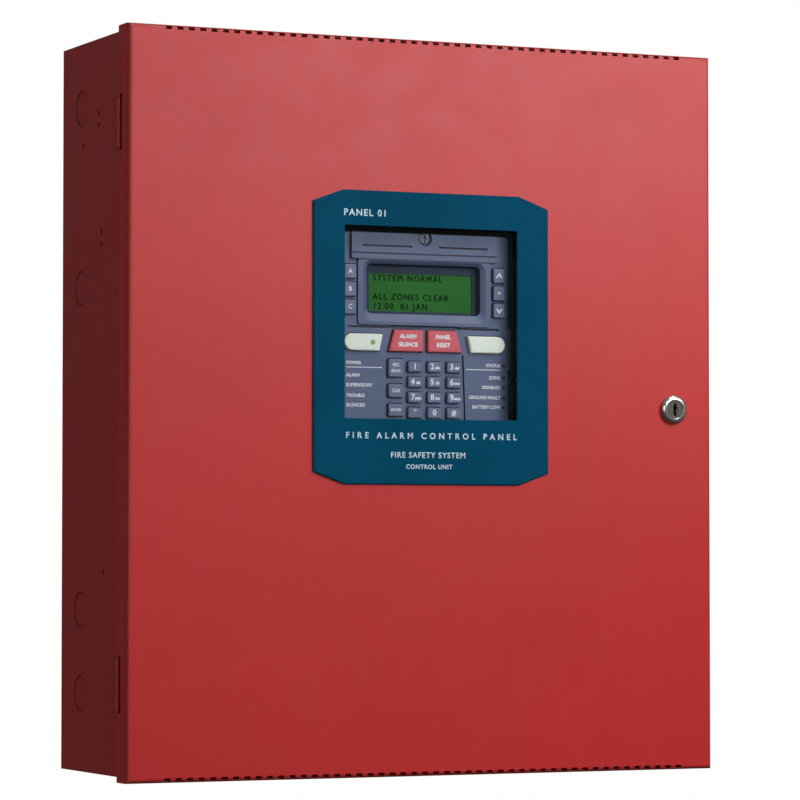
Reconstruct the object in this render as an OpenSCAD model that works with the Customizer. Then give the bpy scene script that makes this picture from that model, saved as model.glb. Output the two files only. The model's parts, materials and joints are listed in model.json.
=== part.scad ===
// Wall-mounted fire alarm control panel: steel backbox, hinged door with a framed window,
// keypad and display unit, main board, transformer and two standby batteries.
// X runs to the right, Y runs into the wall and Z is up. The origin is the centre of the
// backbox's wall face, so the door's front lies at negative Y.

/* [Cabinet] */
// Overall width of the door tray
door_w = 427.2; // [424:0.1:432]
// Overall height of the door tray
door_h = 489.2; // [486:0.1:496]
// Distance from the wall face to the front of the door
total_d = 132.1; // [130:0.1:140]
// Depth of the door's folded edge
flange_d = 18.3; // [17.5:0.1:20]
// Thickness of the sheet steel
sheet_t = 1.2; // [1:0.1:1.4]
// Outside radius of the backbox's bends
bend_r = 2; // [1.7:0.1:2.4]
// Outside radius of the door's bends
door_bend_r = 3; // [2:0.1:3.4]
// Gap between the door's side edges and the backbox
side_gap = 0.95; // [0.8:0.05:1.2]
// Gap between the door's top and bottom edges and the backbox
top_gap = 2.1; // [1.5:0.1:2.5]
// Width of the backbox's inward front lip
lip_w = 12; // [10:0.5:14]

/* [Vents and knockouts] */
// Slots in each row along the door's top and bottom bends
vent_n = 48; // [40:1:50]
// Spacing of the vent slots
vent_pitch = 7.94; // [7.6:0.01:8.2]
// Middle of each row of slots, to the right of the door's centre
vent_x = 0.9; // [-1:0.1:2]
// Width of one vent slot
vent_w = 4.2; // [4:0.1:5.2]
// Diameter of a conduit knockout
knock_d = 23.2; // [20:0.1:24]

/* [Window and bezel] */
// Centre of the window, to the right of the door's centre
window_x = 1.2; // [-5:0.1:5]
// Centre of the window, above the door's centre
window_z = 55.3; // [50:0.1:60]
// Width of the window
window_w = 126.4; // [125:0.1:130]
// Height of the window
window_h = 127.4; // [126:0.1:130]
// Width of the eight-sided bezel
bezel_w = 172.4; // [168:0.1:176]
// Height of the eight-sided bezel
bezel_h = 194.3; // [190:0.1:198]
// Thickness of the bezel
bezel_t = 1.6; // [1:0.1:2.5]

/* [Hinges and lock] */
// Distance of each hinge from the door's centre
hinge_z = 181.7; // [170:0.1:190]
// Height of one hinge barrel
hinge_len = 32; // [28:0.5:33]
// Lock axis, to the right of the door's centre
lock_x = 184; // [182:0.1:185]
// Lock axis, above the door's centre
lock_z = 0.9; // [-10:0.1:10]

/* [Keypad] */
// Distance from the door's front to the face of the keypad housing
pad_depth = 11; // [10:0.1:12]
// How far a key stands out of the housing
key_proud = 2.4; // [1:0.1:3]
// Gap around each key
key_gap = 0.65; // [0.4:0.05:0.7]

/* [Mounting] */
// Distance between the two mounting holes in a row
mount_dx = 390; // [380:1:392]
// Distance between the upper and lower mounting holes
mount_dz = 430; // [420:1:440]

/* [Hidden] */
$fn = 48;

red_paint = [0.68, 0.16, 0.17];
slate = [0.38, 0.42, 0.52];
steel = [0.72, 0.73, 0.75];
eps = 0.01;

// Cabinet
y_front = -total_d;
box_w = door_w - 2 * (sheet_t + side_gap);
box_h = door_h - 2 * (sheet_t + top_gap);
front_gap = 1;
y_box = y_front + sheet_t + front_gap;
inner_w = box_w - 2 * sheet_t;
inner_h = box_h - 2 * sheet_t;
y_inner = -sheet_t;
vent_h = 2.2;
vent_edge = 0.9;
knock_z = [198.4, 78.4, -134.6, -189.6];
knock_y = y_front + 93.5;
knock_top_x = [-120, 0, 120];
knock_gap = 0.6;
knock_dip = 0.25;
seam = 0.04;
hem_d = 6;
hem_t = 1;
dimples = [[61, 192.5], [61, 184.3], [90.2, 172.9], [55.5, 113.4], [55.5, 105.4], [50, -109.6]];
key_entry_r = 5;
key_slot_r = 3;
key_slot_up = 9;
mount_r = 2.8;

// Hinges
barrel_r = 2.3;
pin_r = 1.4;
pin_bore_r = 1.45;
hinge_x = -door_w / 2 + 0.6;
hinge_y = y_front + flange_d + 0.9;
knuckle_mid = 10;
knuckle_gap = 0.4;
notch_h = hinge_len + 4.3;
notch_d = 6.6;
leaf_t = 1;

// Lock
lock_bezel_r = 10;
lock_body_r = 8.9;
lock_hole_r = 9.2;
plug_r = 6.1;
plug_bore_r = 6.15;
lock_proud = 3.6;
lock_rim_w = 3.4;
lock_rim_h = 2.4;
y_lock_rear = y_front + 16;
nut_t = 3;
cam_t = 1.6;
cam_reach = 24.5;
cam_step = 14;

// Keypad
y_pad = y_front + pad_depth;
pad_w = 124.4;
pad_top = 60.4;
pad_low = -81.3;
pad_t = 2.5;
panel_up = 1.2;
brow_up = 2.2;
y_flange = y_pad + pad_t + 0.5;
y_board = y_pad + 11;
y_switch = y_board - 3.4;
y_lcd = y_pad + 5;
side_key = [8.2, 9.4];
side_x = 54.8;
side_z = [34.1, 22.3, 10.5];
digit_key = [9.7, 6.8];
digit_x = [-7.7, 6.6, 20.9];
digit_z = [-28.3, -38.55, -48.8, -59.05];
fn_x = -21.6;
fn_z = [-29.4, -44.55, -57.4];
fn_h = [12, 8.7, 8.2];
fn_w = 10.6;
led_x = 59;
led_z = [-26.5, -34.7, -41.2, -48.1, -54.5];
white_z = -12.7;
white_r = 5.5;
white_end = 58.9;
lcd_z = 21.3;
lcd_view = [76, 25.2];
lcd_case = [97, 41];

// Inside the cabinet
y_chassis = -45;
chassis_w = 330;
chassis_top = 226;
chassis_low = -58;
foot_w = 14;
y_main = -60.4;
main_t = 1.6;
main_x = [-92, 162];
main_z = [-54, 222];
bat = [181, 77, 167];
bat_gap = 6;
bat_y = -6;
bat_z = -inner_h / 2;
foot_z = [-40, 208];
post_x = 52;
post_z = [-66, 54];

// Flat shapes --------------------------------------------------------------------------

module rounded(w, h, r) {
    square([w - 2 * r, h], center = true);
    square([w, h - 2 * r], center = true);
    for (sx = [-1, 1])
        for (sy = [-1, 1])
            translate([sx * (w / 2 - r), sy * (h / 2 - r)]) circle(r = r);
}

// Rectangle with two rounded corners on its low-Y edge
module tray_outline(w, d, r) {
    translate([-w / 2, r]) square([w, d - r]);
    translate([-w / 2 + r, 0]) square([w - 2 * r, r + eps]);
    for (s = [-1, 1])
        translate([s * (w / 2 - r), r]) circle(r = r);
}

// Solid plate between two depths, drawn in X and Z
module slab(y0, y1) {
    translate([0, y1, 0])
        rotate([90, 0, 0])
            linear_extrude(y1 - y0) children();
}

// Tray-shaped block with its closed, rounded side at low Y
module tray_block(w, h, d, r) {
    intersection() {
        linear_extrude(h, center = true) tray_outline(w, d, r);
        rotate([0, 90, 0]) linear_extrude(w + 2, center = true) tray_outline(h, d, r);
    }
}

// Round rod along Y between two depths
module rod(y0, y1, r) {
    slab(y0, y1) circle(r = r);
}

module hex_rod(y0, y1, flats) {
    slab(y0, y1) circle(r = flats / sqrt(3), $fn = 6);
}

module at_window() {
    translate([window_x, 0, window_z]) children();
}

// Cabinet ------------------------------------------------------------------------------

module knock_places() {
    for (s = [-1, 1])
        for (z = knock_z)
            translate([s * (box_w / 2 - sheet_t / 2), knock_y, z]) rotate([0, 90, 0]) children();
    for (x = knock_top_x)
        translate([x, knock_y, box_h / 2 - sheet_t / 2]) children();
}

module keyhole() {
    circle(r = key_entry_r);
    translate([-key_slot_r, 0]) square([2 * key_slot_r, key_slot_up]);
    translate([0, key_slot_up]) circle(r = key_slot_r);
}

module backbox() {
    color(red_paint)
    difference() {
        mirror([0, 1, 0]) tray_block(box_w, box_h, -y_box, bend_r);
        mirror([0, 1, 0])
            translate([0, sheet_t, 0])
                tray_block(inner_w, inner_h, -y_box - 2 * sheet_t, bend_r - sheet_t);
        translate([0, y_box, 0])
            cube([box_w - 2 * lip_w, 6 * sheet_t, box_h - 2 * lip_w], center = true);
        knock_places() cylinder(d = knock_d, h = 4 * sheet_t, center = true);
        for (s = [-1, 1])
            for (p = dimples)
                translate([s * (box_w / 2 + 0.1), y_front + p[0], p[1]])
                    rotate([0, 90, 0]) cylinder(r = 1.6, h = 1.4, center = true);
        for (s = [-1, 1]) {
            translate([s * mount_dx / 2, 0, mount_dz / 2]) slab(-4, 1) keyhole();
            translate([s * mount_dx / 2, 0, -mount_dz / 2]) rod(-4, 1, mount_r);
            // Relief for the hinge leaves
            translate([-box_w / 2 - 1, y_box - 1, s * hinge_z - 20])
                cube([5, hinge_y + 3 - y_box + 1, 40]);
        }
        for (sx = [-1, 1])
            for (z = foot_z)
                translate([sx * (chassis_w / 2 + foot_w / 2), 0, z]) rod(-4, 1, 1.7);
        weld_seams();
    }
}

// Hairline joints between the plates that the box is welded from
module weld_seams() {
    lip_x = box_w / 2 - lip_w;
    lip_z = box_h / 2 - lip_w;
    y_lip = y_box + sheet_t;
    // Side plates against the rest
    for (s = [-1, 1])
        translate([s * inner_w / 2, y_box / 2, 0])
            cube([seam, -y_box + 2, box_h + 2], center = true);
    // Back plate against the top and bottom plates
    translate([0, y_inner, 0]) cube([inner_w, seam, box_h + 2], center = true);
    for (s = [-1, 1]) {
        // Flange strips against the top and bottom plates
        translate([-inner_w / 2, y_box - 1, s * inner_h / 2 - seam / 2])
            cube([inner_w, sheet_t + 1 + eps, seam]);
        // Flange strips against each other
        for (z = [-1, 1])
            translate([s * lip_x - seam / 2, y_box - 1, z > 0 ? lip_z - eps : -inner_h / 2 - seam])
                cube([seam, sheet_t + 1 + eps, inner_h / 2 - lip_z + seam + eps]);
    }
}

module knockout_slugs() {
    color(red_paint)
    knock_places() {
        cylinder(r = knock_d / 2 - knock_gap, h = sheet_t - 2 * knock_dip, center = true);
        for (s = [0, 1])
            rotate([0, 0, 180 * s + 20])
                translate([knock_d / 2 - 1, -1, -sheet_t / 4]) cube([1, 2, sheet_t / 2]);
    }
}

module barrel(z0, z1) {
    difference() {
        translate([hinge_x, hinge_y, z0]) cylinder(r = barrel_r, h = z1 - z0);
        translate([hinge_x, hinge_y, z0 - 1]) cylinder(r = pin_bore_r, h = z1 - z0 + 2);
    }
}

module pin_bore(z) {
    translate([hinge_x, hinge_y, z]) cylinder(r = pin_bore_r, h = hinge_len + 4, center = true);
}

module box_hinge_leaves() {
    wall_x = -inner_w / 2;
    color(red_paint)
    for (s = [-1, 1])
        difference() {
            union() {
                barrel(s * hinge_z - knuckle_mid / 2, s * hinge_z + knuckle_mid / 2);
                translate([hinge_x, hinge_y + 1, s * hinge_z - knuckle_mid / 2])
                    cube([wall_x + leaf_t - hinge_x, leaf_t, knuckle_mid]);
                translate([wall_x, hinge_y + 1, s * hinge_z - 14])
                    cube([leaf_t, 18, 28]);
            }
            pin_bore(s * hinge_z);
        }
}

module hinge_pins() {
    color(steel)
    for (s = [-1, 1])
        translate([hinge_x, hinge_y, s * hinge_z]) {
            cylinder(r = pin_r, h = hinge_len + 2, center = true);
            for (e = [-1, 1])
                translate([0, 0, e * (hinge_len / 2 + 0.8)])
                    cylinder(r = 2, h = 0.8, center = true);
        }
}

module chassis_plate() {
    half = chassis_w / 2;
    h = chassis_top - chassis_low;
    color(steel)
    difference() {
        union() {
            translate([-half, y_chassis, chassis_low]) cube([chassis_w, sheet_t, h]);
            for (s = [-1, 1]) {
                translate([s * (half - sheet_t / 2) - sheet_t / 2, y_chassis, chassis_low])
                    cube([sheet_t, y_inner - y_chassis, h]);
                translate([s * (half + foot_w / 2) - foot_w / 2 - 0.6, y_inner - sheet_t, chassis_low])
                    cube([foot_w + 1.2, sheet_t, h]);
            }
        }
        for (sx = [-1, 1])
            for (z = foot_z)
                translate([sx * (half + foot_w / 2), 0, z]) rod(-4, 1, 1.7);
        // Wiring slots
        for (z = [-20, 70, 160])
            for (sx = [-1, 1])
                translate([sx * (half - 18), 0, z])
                    slab(y_chassis - 1, y_chassis + sheet_t + 1) rounded(12, 40, 5.9);
    }
}

// Pan-head screws along Y, head facing the door
module pan_screw(y_seat, head_r, shank_r, len) {
    difference() {
        union() {
            rod(y_seat - 2, y_seat, head_r);
            rod(y_seat - eps, y_seat + len, shank_r);
        }
        slab(y_seat - 3, y_seat - 0.9) square([head_r * 1.3, 0.9], center = true);
        slab(y_seat - 3, y_seat - 0.9) square([0.9, head_r * 1.3], center = true);
    }
}

module panel_screws() {
    color(steel) {
        for (sx = [-1, 1])
            for (z = foot_z)
                translate([sx * (chassis_w / 2 + foot_w / 2), 0, z])
                    pan_screw(y_inner - sheet_t, 3.4, 1.6, sheet_t * 2 - 0.3);
        at_window() translate([0, 0, 57.3]) pan_screw(y_pad + 1, 3.8, 1.6, 9);
    }
}

module board_standoffs() {
    color([0.78, 0.68, 0.4])
    for (x = [main_x[0] + 6, main_x[1] - 6])
        for (z = [main_z[0] + 6, (main_z[0] + main_z[1]) / 2, main_z[1] - 6])
            translate([x, 0, z]) {
                hex_rod(y_main, y_chassis, 6);
                rod(y_main - main_t - 2, y_main - main_t, 2.8);
                rod(y_main - main_t - eps, y_main + eps, 1.4);
            }
}

module main_board() {
    color([0.08, 0.32, 0.18])
    difference() {
        translate([main_x[0], y_main - main_t, main_z[0]])
            cube([main_x[1] - main_x[0], main_t, main_z[1] - main_z[0]]);
        for (x = [main_x[0] + 6, main_x[1] - 6])
            for (z = [main_z[0] + 6, (main_z[0] + main_z[1]) / 2, main_z[1] - 6])
                translate([x, 0, z]) rod(y_main - main_t - 1, y_main + 1, 1.5);
        at_window()
            for (sx = [-1, 1])
                for (z = post_z)
                    translate([sx * post_x, 0, z]) rod(y_main - main_t - 1, y_main + 1, 1.5);
    }
}

// Screw terminal rows on the main board: [x of first way, z, ways]
term_rows = [[-76, 208, 14], [4, 208, 14], [84, 208, 10], [-76, -40, 10], [4, -40, 14]];
term_pitch = 5;
term_d = 11;
term_tall = 12;

module terminal_blocks() {
    y0 = y_main - main_t - term_tall;
    color([0.1, 0.32, 0.2])
    for (t = term_rows)
        difference() {
            translate([t[0] - term_pitch / 2, y0, t[1] - term_d / 2])
                cube([t[2] * term_pitch, term_tall, term_d]);
            for (i = [0:t[2] - 1])
                translate([t[0] + i * term_pitch, 0, t[1]]) {
                    rod(y0 - 1, y0 + 3, 1.9);
                    translate([-1.5, y0 + 5, (t[1] > 0 ? 1 : -1) * term_d / 2 - 2])
                        cube([3, 4, 4]);
                }
        }
}

module terminal_screws() {
    y0 = y_main - main_t - term_tall;
    color(steel)
    for (t = term_rows)
        for (i = [0:t[2] - 1])
            translate([t[0] + i * term_pitch, 0, t[1]])
                difference() {
                    rod(y0 + 1, y0 + 3, 1.7);
                    slab(y0, y0 + 1.6) square([3, 0.5], center = true);
                }
}

// Chips and small parts: [x, z, width, height, thickness]
chips = [
    [110, 120, 28, 28, 3], [110, 70, 20, 34, 3.5], [120, 20, 24, 14, 4], [96, -10, 18, 24, 8],
    [130, 170, 15, 19, 11], [100, 170, 15, 19, 11], [-70, 150, 18, 22, 10], [-70, 120, 18, 22, 10],
    [-76, 60, 16, 30, 14], [-76, 10, 22, 26, 16], [20, 178, 34, 14, 4], [-30, 178, 26, 14, 4],
    [70, 176, 16, 22, 9], [140, 40, 12, 20, 6]
];

module board_chips() {
    color([0.12, 0.12, 0.13])
    for (c = chips)
        translate([c[0] - c[2] / 2, y_main - main_t - c[4], c[1] - c[3] / 2])
            cube([c[2], c[4], c[3]]);
}

// Standing capacitors: [x, z, radius, height]
cans = [[146, -30, 9, 30], [122, -30, 9, 30], [146, 100, 6, 20], [-66, 92, 8, 25], [148, 132, 5, 14]];

module capacitors() {
    color([0.1, 0.13, 0.25])
    for (c = cans)
        translate([c[0], 0, c[1]]) {
            rod(y_main - main_t - c[3], y_main - main_t, c[2]);
            rod(y_main - main_t - 3, y_main - main_t - 1, c[2] + 0.3);
        }
}

// Open-frame mains transformer to the left of the board
trans = [-131, 20];

module transformer_core() {
    color([0.28, 0.28, 0.3])
    translate([trans[0], 0, trans[1]])
        difference() {
            union() {
                slab(y_chassis - 46, y_chassis - 20) square([54, 66], center = true);
                // Mounting frame around the laminations
                for (s = [-1, 1]) {
                    translate([-28.2, y_chassis - 46, s * 34 - 1]) cube([56.4, 46, 2]);
                    translate([-28.2, y_chassis - 1.6, s * 39 - 6]) cube([56.4, 1.6, 12]);
                }
            }
            for (s = [-1, 1])
                translate([s * 15, 0, 0])
                    slab(y_chassis - 48, y_chassis - 18) square([11, 42], center = true);
            for (sx = [-1, 1])
                for (sz = [-1, 1])
                    translate([sx * 20, 0, sz * 40]) rod(y_chassis - 3, y_chassis + 1, 2);
        }
}

module transformer_coil() {
    color([0.75, 0.62, 0.25])
    translate([trans[0], 0, trans[1]])
        difference() {
            slab(y_chassis - 55, y_chassis - 11) square([40, 41], center = true);
            slab(y_chassis - 46.2, y_chassis - 19.8) square([19.4, 43], center = true);
        }
}

// Mains terminal strip and its cover, above the transformer
module mains_block() {
    color([0.15, 0.15, 0.16])
    translate([-131, 0, 140])
        difference() {
            union() {
                slab(y_chassis - 4, y_chassis) square([50, 60], center = true);
                for (i = [-2:1:2])
                    translate([0, 0, i * 11]) slab(y_chassis - 18, y_chassis - 3)
                        square([40, 1.6], center = true);
                for (s = [-1, 1])
                    translate([s * 19.4, 0, 0]) slab(y_chassis - 18, y_chassis - 3)
                        square([1.6, 46], center = true);
                slab(y_chassis - 12, y_chassis - 3) square([8, 46], center = true);
            }
            for (i = [-1.5:1:1.5])
                for (s = [-1, 1])
                    translate([s * 11, 0, i * 11]) rod(y_chassis - 6, y_chassis - 1, 2.2);
        }
}

// Display and keypad unit ---------------------------------------------------------------

module display_board() {
    color([0.08, 0.32, 0.18])
    at_window()
        difference() {
            translate([-58, y_board, -78]) cube([116, 1.6, 136]);
            for (sx = [-1, 1])
                for (z = post_z)
                    translate([sx * post_x, 0, z]) rod(y_board - 1, y_board + 3, 1.5);
        }
}

module display_posts() {
    color([0.78, 0.68, 0.4])
    at_window()
        for (sx = [-1, 1])
            for (z = post_z)
                translate([sx * post_x, 0, z]) {
                    hex_rod(y_board + 1.6, y_main - main_t, 6);
                    rod(y_board - 1.6, y_board, 2.6);
                    rod(y_board - eps, y_board + 1.6 + eps, 1.4);
                    rod(y_main - main_t - eps, y_main + 2, 1.4);
                }
}

module switch_at(x, z) {
    translate([x, 0, z]) {
        slab(y_switch + 0.6, y_board) square([6, 6], center = true);
        rod(y_switch, y_switch + 0.7, 1.7);
    }
}

module key_switches() {
    color([0.15, 0.15, 0.16])
    at_window() {
        for (s = [-1, 1]) {
            for (z = side_z) switch_at(s * side_x, z);
            switch_at(s * 13, -11);
            switch_at(s * 46, white_z);
        }
        for (z = fn_z) switch_at(fn_x, z);
        for (x = digit_x)
            for (z = digit_z) switch_at(x, z);
    }
}

module red_shape(grow) {
    polygon([
        [1.9 - grow, -18.2 - grow], [26.6 + grow * 1.2, -18.2 - grow],
        [22.6 + grow * 1.1, -4.1 + grow], [1.9 - grow, -4.1 + grow]
    ]);
}

module white_shape(grow) {
    translate([white_end - white_r, white_z]) circle(r = white_r + grow);
    polygon([
        [33.8 - grow * 1.2, white_z - white_r - grow], [white_end - white_r, white_z - white_r - grow],
        [white_end - white_r, white_z + white_r + grow], [31.3 - grow, white_z + white_r + grow]
    ]);
}

module both_sides() {
    for (s = [0, 1]) mirror([s, 0, 0]) children();
}

module key_holes() {
    g = 2 * key_gap;
    both_sides() {
        for (z = side_z)
            translate([side_x, z]) rounded(side_key[0] + g, side_key[1] + g, 1);
        red_shape(key_gap);
        white_shape(key_gap);
        for (z = led_z)
            translate([led_x, z]) circle(r = 1.3);
    }
    for (i = [0:2])
        translate([fn_x, fn_z[i]]) rounded(fn_w + g, fn_h[i] + g, 1);
    for (x = digit_x)
        for (z = digit_z)
            translate([x, z]) rounded(digit_key[0] + g, digit_key[1] + g, 1);
}

module keypad_housing() {
    pad_h = pad_top - pad_low;
    mid = (pad_top + pad_low) / 2;
    color(slate)
    at_window()
        difference() {
            union() {
                translate([0, 0, mid]) slab(y_pad, y_board - 0.4) rounded(pad_w, pad_h, 3);
                // Raised surround of the display and the brow above it
                translate([0, 0, 22.3]) slab(y_pad - panel_up, y_pad + eps) rounded(97.4, 46.2, 2);
                translate([0, 0, 51.6]) slab(y_pad - brow_up, y_pad + eps) rounded(107.4, 17.6, 1.5);
            }
            // Hollow back, with posts left standing for the screw
            difference() {
                translate([0, 0, mid])
                    slab(y_pad + pad_t, y_board + 1) rounded(pad_w - 4, pad_h - 4, 2);
                translate([0, 0, 57.3]) rod(y_pad, y_board, 4);
            }
            translate([0, 0, 23.25]) {
                slab(y_pad - 4, y_pad + pad_t + 1) rounded(84, 33.3, 4);
                // Sloped rim, widest below the display
                hull() {
                    slab(y_pad - panel_up - 1, y_pad - panel_up)
                        translate([0, -1.6]) rounded(90.4, 40.5, 6);
                    slab(y_pad + 0.5, y_pad + 0.6) rounded(84, 33.3, 4);
                }
            }
            slab(y_pad - 4, y_pad + pad_t + 1) key_holes();
            // Screw pocket in the brow
            translate([0, 0, 57.3]) rod(y_pad - 4, y_pad + 1, 4.8);
            translate([0, 0, 57.3]) rod(y_pad, y_board + 1, 1.65);
            // Grooves on the brow
            for (s = [-1, 1])
                translate([s * 28, 0, 51.6])
                    slab(y_pad - brow_up - 1, y_pad - brow_up + 1.5) square([36, 1.2], center = true);
            translate([0, 0, 46.6])
                slab(y_pad - brow_up - 1, y_pad - brow_up + 0.9) square([110, 1], center = true);
            // Groove that parts the display from the keys, and the one right of the digits
            slab(y_pad - 1, y_pad + 1.5) {
                translate([0, -2.4]) square([111, 1.3], center = true);
                polygon([[-27.2, -2.9], [27.2, -2.9], [24.6, -0.8], [-24.6, -0.8]]);
                polygon([[27.9, -19.9], [29.1, -19.9], [30.7, -64], [29.5, -64]]);
            }
        }
}

module lcd_frame() {
    color([0.16, 0.17, 0.2])
    at_window()
        translate([0, 0, lcd_z])
            difference() {
                slab(y_lcd, y_board) rounded(lcd_case[0], lcd_case[1], 1);
                slab(y_lcd - 1, y_lcd + 1.4) square(lcd_view, center = true);
            }
}

module lcd_glass() {
    color([0.25, 0.5, 0.22])
    at_window()
        translate([0, 0, lcd_z])
            slab(y_lcd + 0.8, y_lcd + 1.4) square(lcd_view - [0.1, 0.1], center = true);
}

module status_leds() {
    color([0.5, 0.15, 0.12])
    at_window()
        both_sides()
            for (z = led_z)
                translate([led_x, 0, z]) {
                    rod(y_pad + 0.4, y_board, 1.1);
                    translate([0, y_pad + 0.4, 0]) sphere(r = 1.1);
                }
}

// One key: a crown, a stem through the housing and a flange that keeps it in
module key_body(w, h, r) {
    slab(y_pad - key_proud, y_pad - key_proud + 0.6) rounded(w - 0.8, h - 0.8, r - 0.35);
    slab(y_pad - key_proud + 0.5, y_flange + eps) rounded(w, h, r);
    slab(y_flange, y_flange + 0.9) rounded(w + 2, h + 2, r);
    rod(y_flange + 0.8, y_switch - 1.4, 1.8);
}

module shaped_key_body(x, z) {
    slab(y_pad - key_proud - 0.4, y_pad - key_proud + 0.2) children(0);
    slab(y_pad - key_proud + 0.1, y_flange + eps) children(1);
    slab(y_flange, y_flange + 0.9) children(2);
    translate([x, 0, z]) rod(y_flange + 0.8, y_switch - 1.4, 1.8);
}

module side_key_at(s, i) {
    color(slate)
    at_window()
        translate([s * side_x, 0, side_z[i]]) key_body(side_key[0], side_key[1], 1);
}

module function_key_at(i) {
    color(slate)
    at_window()
        translate([fn_x, 0, fn_z[i]]) key_body(fn_w, fn_h[i], 1);
}

module digit_key_at(c, r) {
    color(slate)
    at_window()
        translate([digit_x[c], 0, digit_z[r]]) key_body(digit_key[0], digit_key[1], 1);
}

module red_key(s) {
    color([0.78, 0.3, 0.33])
    at_window()
        mirror([s, 0, 0])
            shaped_key_body(13, -11) {
                red_shape(-0.6);
                red_shape(0);
                red_shape(0.9);
            }
}

module white_key(s) {
    color([0.88, 0.92, 0.84])
    at_window()
        mirror([s, 0, 0])
            shaped_key_body(46, white_z) {
                white_shape(-0.6);
                white_shape(0);
                white_shape(0.9);
            }
}

module key_left_top() { side_key_at(-1, 0); }
module key_left_middle() { side_key_at(-1, 1); }
module key_left_bottom() { side_key_at(-1, 2); }
module key_right_top() { side_key_at(1, 0); }
module key_right_middle() { side_key_at(1, 1); }
module key_right_bottom() { side_key_at(1, 2); }
module key_red_left() { red_key(1); }
module key_red_right() { red_key(0); }
module key_white_left() { white_key(1); }
module key_white_right() { white_key(0); }
module key_function_top() { function_key_at(0); }
module key_function_middle() { function_key_at(1); }
module key_function_bottom() { function_key_at(2); }
module key_digit_1() { digit_key_at(0, 0); }
module key_digit_2() { digit_key_at(1, 0); }
module key_digit_3() { digit_key_at(2, 0); }
module key_digit_4() { digit_key_at(0, 1); }
module key_digit_5() { digit_key_at(1, 1); }
module key_digit_6() { digit_key_at(2, 1); }
module key_digit_7() { digit_key_at(0, 2); }
module key_digit_8() { digit_key_at(1, 2); }
module key_digit_9() { digit_key_at(2, 2); }
module key_star() { digit_key_at(0, 3); }
module key_digit_0() { digit_key_at(1, 3); }
module key_hash() { digit_key_at(2, 3); }

// Standby batteries and wiring -----------------------------------------------------------

module battery_places() {
    for (s = [-1, 1])
        translate([s * (bat[0] + bat_gap) / 2, bat_y - bat[1] / 2, bat_z]) children();
}

module batteries() {
    color([0.16, 0.17, 0.19])
    battery_places()
        difference() {
            union() {
                linear_extrude(bat[2] - 12) rounded(bat[0], bat[1], 3);
                translate([0, 0, bat[2] - 13]) linear_extrude(13) rounded(bat[0] - 2, bat[1] - 2, 3);
            }
            // Seam under the lid and the six vent caps
            translate([0, 0, bat[2] - 12])
                linear_extrude(1)
                    difference() {
                        square([bat[0] + 2, bat[1] + 2], center = true);
                        rounded(bat[0] - 3, bat[1] - 3, 3);
                    }
            translate([0, 0, bat[2] - 1.5]) linear_extrude(2) rounded(120, 26, 4);
            for (s = [-1, 1])
                translate([s * 78, 0, bat[2] - 4]) linear_extrude(6) rounded(18, 20, 2);
        }
}

module battery_terminals() {
    color([0.7, 0.7, 0.68])
    battery_places()
        for (s = [-1, 1])
            translate([s * 78, 0, bat[2] - 4])
                difference() {
                    union() {
                        translate([-6, -6, 0]) cube([12, 12, 3]);
                        translate([-6, 2, 0]) cube([12, 2, 9]);
                    }
                    translate([0, 3, 5.5]) rotate([90, 0, 0]) cylinder(r = 2, h = 6, center = true);
                }
}

// A quarter bend of wire in the plane of its first and second axes
module wire_bend(r, w) {
    rotate_extrude(angle = 90) translate([r, 0]) circle(r = w);
}

// Lead: across from a battery terminal, then up in front of the board's lower edge
module lead(x0, x1, y1) {
    w = 1.3;
    r = 6;
    z0 = bat_z + bat[2] + 2;
    z1 = main_z[0] + 5;
    d = x1 > x0 ? 1 : -1;
    y0 = bat_y - bat[1] / 2 + 1.9 - w;
    // Out towards the door
    translate([x0, y1 + r, z0]) rotate([-90, 0, 0]) cylinder(r = w, h = y0 - y1 - r);
    translate([x0 + d * r, y1 + r, z0]) mirror([d > 0 ? 0 : 1, 0, 0])
        mirror([1, 0, 0]) mirror([0, 1, 0]) wire_bend(r, w);
    // Across
    translate([min(x0, x1) + r, y1, z0]) rotate([0, 90, 0]) cylinder(r = w, h = abs(x1 - x0) - 2 * r);
    translate([x1 - d * r, y1, z0 + r]) rotate([90, 0, 0]) mirror([d > 0 ? 0 : 1, 0, 0])
        mirror([0, 1, 0]) wire_bend(r, w);
    // Up to the plug
    translate([x1, y1, z0 + r]) cylinder(r = w, h = z1 - z0 - r);
}

module battery_leads() {
    half = (bat[0] + bat_gap) / 2;
    y_plug = y_main - main_t - 5;
    z_plug = main_z[0] + 7.5;
    color([0.2, 0.2, 0.22]) {
        lead(-half - 78, -38, y_plug);
        lead(half + 78, 100, y_plug);
        // Link between the two batteries
        for (s = [-1, 1])
            translate([s * (half - 78), bat_y - bat[1] / 2 + 0.6, bat_z + bat[2] + 2])
                rotate([90, 0, 0]) cylinder(r = 1.3, h = 14);
        translate([-half + 78, bat_y - bat[1] / 2 - 13.4, bat_z + bat[2] + 2])
            rotate([0, 90, 0]) cylinder(r = 1.3, h = 2 * half - 156);
        // Plugs on the board
        for (x = [-38, 100])
            translate([x - 4, y_plug - 4, z_plug - 3]) cube([8, 9, 3]);
    }
}

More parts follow.
